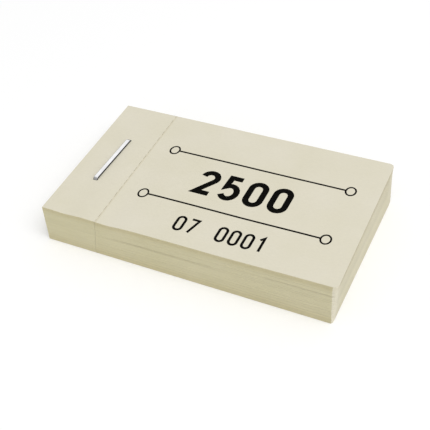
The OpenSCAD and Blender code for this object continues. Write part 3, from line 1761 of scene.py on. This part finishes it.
@dataclass
class TicketPrint:
    """What is printed on each ticket: two rules with ring ends, a large number and a serial number.

    Places are given from the stub end and from the pad's middle line.

    Attributes:
        shape: Where the leaves lie.
        finish: The ink's finish.
        ring_near: Distance from the stub end to the near rings.
        ring_far: Distance from the stub end to the far rings.
        ring_across: Distance of the rules from the line half-way between them.
        middle: Distance of that line from the pad's middle line.
        ring_size: Length and height of the rings, over the pen.
        rule_pen: Width of the rules' pen.
        ring_pen: Width of the rings' pen.
        rule_step: Length of the rules' pieces, short enough to follow the paper.
        value: The large number, the same on each ticket.
        value_at: Where the large number starts.
        series: The first number of the serial line.
        series_at: Where it starts.
        serial_at: Where the ticket's own number starts.
        ink: Thickness of the ink over the paper.
        soak: How deep the ink goes into the paper.
    """

    shape: PadShape
    finish: InkFinish = InkFinish()
    ring_near: float = 16.7 * MILLIMETRE
    ring_far: float = 54.25 * MILLIMETRE
    ring_across: float = 6.98 * MILLIMETRE
    middle: float = 0.13 * MILLIMETRE
    ring_size: Point = (2.3 * MILLIMETRE, 2.7 * MILLIMETRE)
    rule_pen: float = 0.42 * MILLIMETRE
    ring_pen: float = 0.36 * MILLIMETRE
    rule_step: float = 0.8 * MILLIMETRE
    value: str = "2500"
    value_at: Point = (25.3 * MILLIMETRE, -3.5 * MILLIMETRE)
    series: str = "07"
    series_at: Point = (26.3 * MILLIMETRE, -14.25 * MILLIMETRE)
    serial_at: Point = (34.9 * MILLIMETRE, -14.25 * MILLIMETRE)
    ink: float = 0.003 * MILLIMETRE
    soak: float = 0.001 * MILLIMETRE

    STYLES = {
        Weight.BOLD: NumberStyle(
            height=7.2 * MILLIMETRE, width=4.1 * MILLIMETRE, pitch=5.1 * MILLIMETRE, pen=1.25 * MILLIMETRE
        ),
        Weight.THIN: NumberStyle(
            height=4.1 * MILLIMETRE, width=2.05 * MILLIMETRE, pitch=2.62 * MILLIMETRE, pen=0.54 * MILLIMETRE
        ),
    }
    SERIAL_DIGITS = 4
    # Least cosine of half of a corner's turn that a mitre follows.
    SHARPEST_CORNER = 0.4

    def __post_init__(self) -> None:
        """Makes the ink's material."""
        self.material = self.finish.material()

    def build(self) -> None:
        """Prints the top ticket of each node, because only that one can be seen."""
        for node in frame["nodes"]:
            if node.startswith("ticket"):
                self._print_piece(node, leaves_of(node)[0])

    def _print_piece(self, node: str, leaf: int) -> None:
        """Prints one ticket.

        Args:
            node: The node that the ticket belongs to.
            leaf: The ticket's leaf, counted from the top.
        """
        work = bmesh.new()
        under = float(self.shape.leaf_count - leaf)
        for strokes, pen in self._drawing(leaf):
            for stroke in strokes:
                self._ink_stroke(work, stroke, pen, under)
        bmesh.ops.recalc_face_normals(work, faces=work.faces)
        mesh = bpy.data.meshes.new(f"print_{node}")
        work.to_mesh(mesh)
        work.free()
        mesh.materials.append(self.material)
        piece = linked_object(f"print_{node}", mesh)
        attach(piece, body_of_node(node))
        LOG.info("%s lies on leaf %d: %d faces", piece.name, leaf, len(mesh.polygons))

    def _drawing(self, leaf: int) -> list[tuple[list[Stroke], float]]:
        """All the strokes on one ticket.

        Args:
            leaf: The ticket's leaf, counted from the top.

        Returns:
            Groups of strokes, each with the width of its pen.
        """
        serial = str(leaf).zfill(self.SERIAL_DIGITS)
        return [
            (self._rules(), self.rule_pen),
            (self._rings(), self.ring_pen),
            (self._number(self.value, self.value_at, Weight.BOLD), self.STYLES[Weight.BOLD].pen),
            (self._number(self.series, self.series_at, Weight.THIN), self.STYLES[Weight.THIN].pen),
            (self._number(serial, self.serial_at, Weight.THIN), self.STYLES[Weight.THIN].pen),
        ]

    @property
    def _heights(self) -> list[float]:
        """Distances of the two rules from the pad's middle line."""
        return [self.middle + side * self.ring_across for side in (-1, 1)]

    def _rules(self) -> list[Stroke]:
        """The two rules, from ring to ring.

        Returns:
            The strokes.
        """
        radius = (self.ring_size[0] - self.ring_pen) / 2
        start, end = self.ring_near + radius, self.ring_far - radius
        steps = math.ceil((end - start) / self.rule_step)
        places = [start + (end - start) * i / steps for i in range(steps + 1)]
        return [Stroke(tuple((place, across) for place in places)) for across in self._heights]

    def _rings(self) -> list[Stroke]:
        """The rings at the ends of the rules.

        Returns:
            The strokes.
        """
        radii = tuple((size - self.ring_pen) / 2 for size in self.ring_size)
        ends = (self.ring_near, self.ring_far)
        return [ring((end, across), radii) for end in ends for across in self._heights]

    def _number(self, digits: str, at: Point, weight: Weight) -> list[Stroke]:
        """Draws a number.

        Args:
            digits: Its numerals.
            at: Its lower left corner.
            weight: Its weight.

        Returns:
            The strokes.
        """
        style = self.STYLES[weight]
        numerals = Numerals(style.width - style.pen, style.height - style.pen)
        strokes = []
        for place, digit in enumerate(digits):
            left = at[0] + place * style.pitch + style.pen / 2
            low = at[1] + style.pen / 2
            for stroke in numerals.strokes(digit):
                moved = tuple((left + x, low + y) for x, y in stroke.points)
                strokes.append(Stroke(moved, stroke.closed))
        return strokes

    def _ink_stroke(self, work: bmesh.types.BMesh, stroke: Stroke, pen: float, under: float) -> None:
        """Adds one stroke to a mesh, as a thin closed layer of ink on the paper.

        Args:
            work: The mesh.
            stroke: The stroke.
            pen: Width of the pen.
            under: How many leaves lie under the printed one.
        """
        left, right = self._rims(np.array(stroke.points), pen / 2, stroke.closed)
        corners = ((left, self.ink), (right, self.ink), (right, -self.soak), (left, -self.soak))
        rows = [[self._on_leaf(work, point, under, level) for point in rim] for rim, level in corners]
        count = len(stroke.points)
        for i in range(count if stroke.closed else count - 1):
            following = (i + 1) % count
            for row, other in zip(rows, rows[1:] + rows[:1]):
                work.faces.new((row[i], row[following], other[following], other[i]))
        if not stroke.closed:
            work.faces.new([row[0] for row in rows])
            work.faces.new([row[-1] for row in rows])

    def _on_leaf(
        self, work: bmesh.types.BMesh, point: np.ndarray, under: float, level: float
    ) -> bmesh.types.BMVert:
        """Adds a vertex to a mesh, at a point of the printed leaf and a level over its paper."""
        height = float(self.shape.upper_face(under, *point)) + level
        return work.verts.new((self.shape.stub_end + point[0], point[1], height))

    def _rims(self, points: np.ndarray, half: float, closed: bool) -> tuple[np.ndarray, np.ndarray]:
        """The left and right rims of a stroke, mitred at its corners.

        Args:
            points: The stroke's points.
            half: Half of the pen's width.
            closed: Whether the stroke is closed.

        Returns:
            The two rims.
        """
        ahead = np.roll(points, -1, axis=0) - points
        ahead /= np.linalg.norm(ahead, axis=1)[:, None]
        behind = np.roll(ahead, 1, axis=0)
        if not closed:
            ahead[-1] = behind[-1]
            behind[0] = ahead[0]
        side_ahead = np.stack([-ahead[:, 1], ahead[:, 0]], axis=1)
        side_behind = np.stack([-behind[:, 1], behind[:, 0]], axis=1)
        mitre = side_ahead + side_behind
        mitre /= np.linalg.norm(mitre, axis=1)[:, None]
        stretch = half / np.maximum((mitre * side_ahead).sum(axis=1), self.SHARPEST_CORNER)
        offset = mitre * stretch[:, None]
        return points + offset, points - offset


@dataclass(frozen=True)
class FloorFinish(Finish):
    """Plain pale studio floor, a little brighter where the camera or a reflection sees it.

    Attributes:
        pale: Colour of the floor.
        lift: What is added to it for the camera and for reflections.
    """

    name = "studio_floor"
    pale: Colour = (0.93, 0.93, 0.93)
    lift: float = 0.08

    def dress(self, desk: NodeDesk) -> dict[str, object]:
        """Gives what goes into the shader's inputs.

        Args:
            desk: The material's desk.

        Returns:
            Constants, sockets and signals, by the inputs' names.
        """
        return {
            "Base Color": opaque(self.pale),
            "Roughness": 1.0,
            "Specular IOR Level": 0.0,
            "Emission Color": opaque(WHITE),
            "Emission Strength": seen_directly(desk) * self.lift,
        }


def seen_directly(desk: NodeDesk) -> Signal:
    """Tells what the camera sees, itself, in a reflection or through glass, from light on other things.

    Args:
        desk: The desk of the material or the world.

    Returns:
        1 for what the camera sees, and 0 for light.
    """
    rays = desk.add("ShaderNodeLightPath").outputs
    reflected = desk.maths("MAXIMUM", rays["Is Glossy Ray"], rays["Is Transmission Ray"])
    return desk.maths("MAXIMUM", rays["Is Camera Ray"], reflected)


@dataclass
class Studio:
    """Floor, light and camera.

    Attributes:
        floor_size: Side of the floor.
        floor_drop: Distance of the floor below the pad.
        floor: Finish of the floor.
        sky: Strength of the light from all round.
        key_power: Power of the main lamp, in watts.
        key_size: Side of the main lamp.
        key_at: Place of the main lamp, which points at the pad.
        camera_at: Place of the camera.
        camera_right: Direction to the right of the picture.
        camera_up: Direction to the top of the picture.
        lens: Focal length, in millimetres.
        sensor: Width of the film, in millimetres.
        nearest: Least distance at which the camera sees.
    """

    floor_size: float = 3.0
    floor_drop: float = 0.05 * MILLIMETRE
    floor: FloorFinish = FloorFinish()
    sky: float = 0.62
    key_power: float = 8.0
    key_size: float = 0.9
    key_at: Place = (0.5, -0.28, 1.1)
    camera_at: Place = (0.06312, -0.12247, 0.12975)
    camera_right: Direction = (0.90642, 0.41849, -0.05712)
    camera_up: Direction = (-0.24827, 0.63730, 0.72953)
    lens: float = 78.777
    sensor: float = 36.0
    nearest: float = 10 * MILLIMETRE

    def build(self) -> None:
        """Sets up the whole studio."""
        bpy.context.scene.view_settings.view_transform = "Standard"
        self._lay_floor()
        self._light_world()
        self._hang_lamp()
        self._set_camera()

    def _lay_floor(self) -> None:
        """Lays the floor under the pad."""
        half = self.floor_size / 2
        corners = [(-half, -half), (half, -half), (half, half), (-half, half)]
        mesh = bpy.data.meshes.new("floor")
        mesh.from_pydata([(x, y, -self.floor_drop) for x, y in corners], [], [(0, 1, 2, 3)])
        mesh.materials.append(self.floor.material())
        linked_object("floor", mesh)

    def _light_world(self) -> None:
        """Lights the scene from all round, white where the camera or a reflection sees it."""
        world = bpy.data.worlds.new("studio")
        world.use_nodes = True
        world.node_tree.nodes.clear()
        desk = NodeDesk(world.node_tree)
        light = desk.place("ShaderNodeBackground", {
            "Color": opaque(WHITE),
            "Strength": seen_directly(desk) * (1.0 - self.sky) + self.sky,
        })
        desk.feed(desk.add("ShaderNodeOutputWorld").inputs["Surface"], light.outputs[0])
        bpy.context.scene.world = world

    def _hang_lamp(self) -> None:
        """Hangs the main lamp."""
        lamp = bpy.data.lights.new("soft_lamp", "AREA")
        lamp.energy = self.key_power
        lamp.size = self.key_size
        holder = bpy.data.objects.new("soft_lamp", lamp)
        holder.location = self.key_at
        holder.rotation_euler = (-Vector(self.key_at)).to_track_quat("-Z", "Y").to_euler()
        bpy.context.scene.collection.objects.link(holder)

    def _set_camera(self) -> None:
        """Sets the camera where the photograph was taken from."""
        data = bpy.data.cameras.new("camera")
        data.lens = self.lens
        data.sensor_width = self.sensor
        data.clip_start = self.nearest
        camera = bpy.data.objects.new("camera", data)
        right, up = Vector(self.camera_right), Vector(self.camera_up)
        turned = Matrix((right, up, right.cross(up))).transposed().to_4x4()
        camera.matrix_world = Matrix.Translation(self.camera_at) @ turned
        bpy.context.scene.collection.objects.link(camera)
        bpy.context.scene.camera = camera


def main() -> None:
    """Builds the pieces in order."""
    logging.basicConfig(level=logging.INFO, format="%(message)s")
    shape = PadShape.from_frame()
    staple = Staple(shape)
    room = staple.room()
    PaperLeaves(shape).build(room)
    bpy.data.objects.remove(room)
    staple.build()
    TicketPrint(shape).build()
    Studio().build()


if __name__ == "__main__":
    main()
